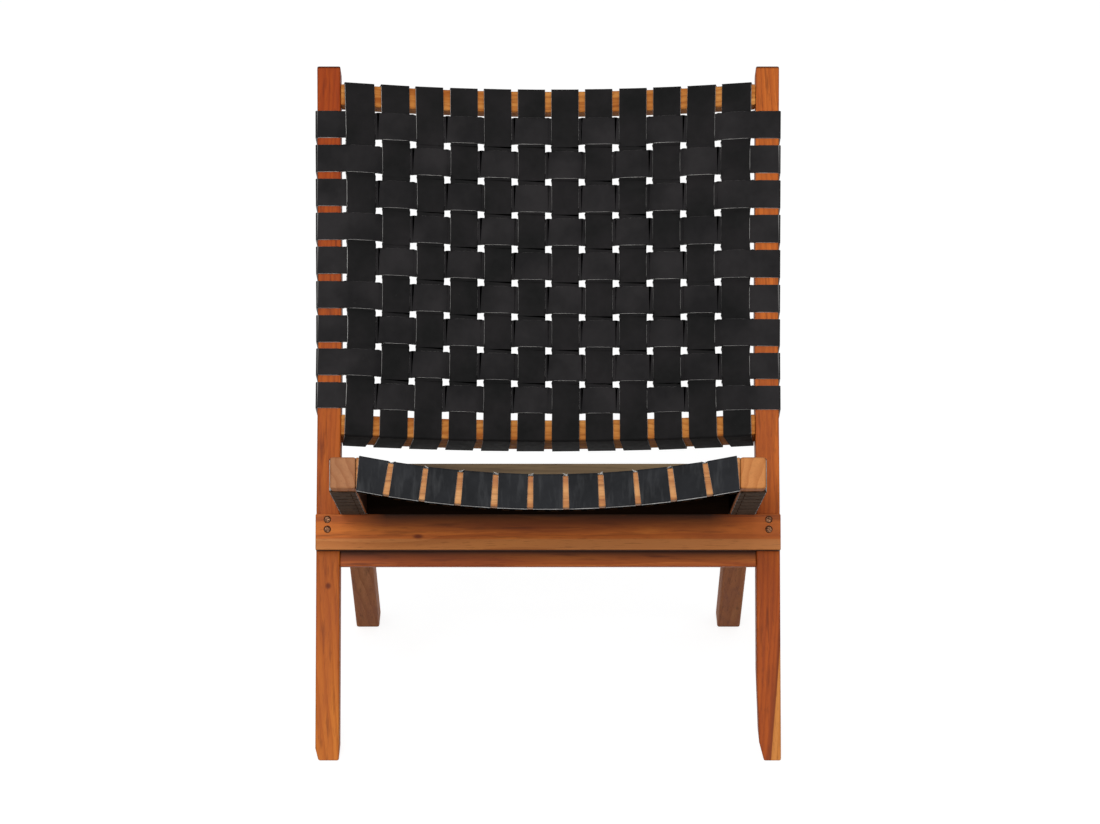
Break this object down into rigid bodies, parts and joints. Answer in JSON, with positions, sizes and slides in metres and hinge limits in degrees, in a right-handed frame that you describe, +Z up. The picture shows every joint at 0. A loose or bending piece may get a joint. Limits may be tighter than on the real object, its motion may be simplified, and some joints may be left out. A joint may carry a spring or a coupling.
{
  "type": "folding lounge chair",
  "caption": "Low folding lounge chair: crossing hardwood frames with a curved seat and back woven from flat leather straps.",
  "frame": {"origin": "on the floor, at the middle of the chair's width and depth", "axes": "+Z up, the sitter faces -Y, +X to the right when the chair is seen from the front"},
  "size_m": [0.595, 0.7918, 0.8012],
  "materials": {
    "teak": "oiled",
    "leather": "satin",
    "pivot_steel": "satin",
    "screw_steel": "dull"
  },
  "bodies": {
    "back_frame": {"post_left": "teak", "post_right": "teak", "back_low_rail": "teak", "back_top_rail": "teak", "front_cross_rail": "teak", "lower_stretcher": "teak", "stop_rail": "teak", "back_upright_strap_01": "leather", "back_upright_strap_02": "leather", "back_upright_strap_03": "leather", "back_upright_strap_04": "leather", "back_upright_strap_05": "leather", "back_upright_strap_06": "leather", "back_upright_strap_07": "leather", "back_upright_strap_08": "leather", "back_upright_strap_09": "leather", "back_upright_strap_10": "leather", "back_upright_strap_11": "leather", "back_upright_strap_12": "leather", "back_level_strap_01": "leather", "back_level_strap_02": "leather", "back_level_strap_03": "leather", "back_level_strap_04": "leather", "back_level_strap_05": "leather", "back_level_strap_06": "leather", "back_level_strap_07": "leather", "back_level_strap_08": "leather", "back_level_strap_09": "leather", "rail_screw_left_upper": "screw_steel", "rail_screw_left_lower": "screw_steel", "rail_screw_right_upper": "screw_steel", "rail_screw_right_lower": "screw_steel"},
    "seat_frame": {"seat_side_left": "teak", "seat_side_right": "teak", "seat_front_rail": "teak", "seat_rear_rail": "teak", "seat_long_strap_01": "leather", "seat_long_strap_02": "leather", "seat_long_strap_03": "leather", "seat_long_strap_04": "leather", "seat_long_strap_05": "leather", "seat_long_strap_06": "leather", "seat_long_strap_07": "leather", "seat_long_strap_08": "leather", "seat_long_strap_09": "leather", "seat_long_strap_10": "leather", "seat_long_strap_11": "leather", "seat_cross_strap_01": "leather", "seat_cross_strap_02": "leather", "seat_cross_strap_03": "leather", "seat_cross_strap_04": "leather", "seat_cross_strap_05": "leather", "seat_cross_strap_06": "leather", "seat_cross_strap_07": "leather", "pivot_screw_left": "pivot_steel", "pivot_screw_right": "pivot_steel", "pivot_washer_left": "pivot_steel", "pivot_washer_right": "pivot_steel"}
  },
  "joints": [
    {"name": "seat_fold", "type": "hinge", "parent": "back_frame", "child": "seat_frame", "pos_m": [0, -0.00453, 0.29425], "axis": [-1, 0, 0], "range_deg": [0, 60]}
  ]
}
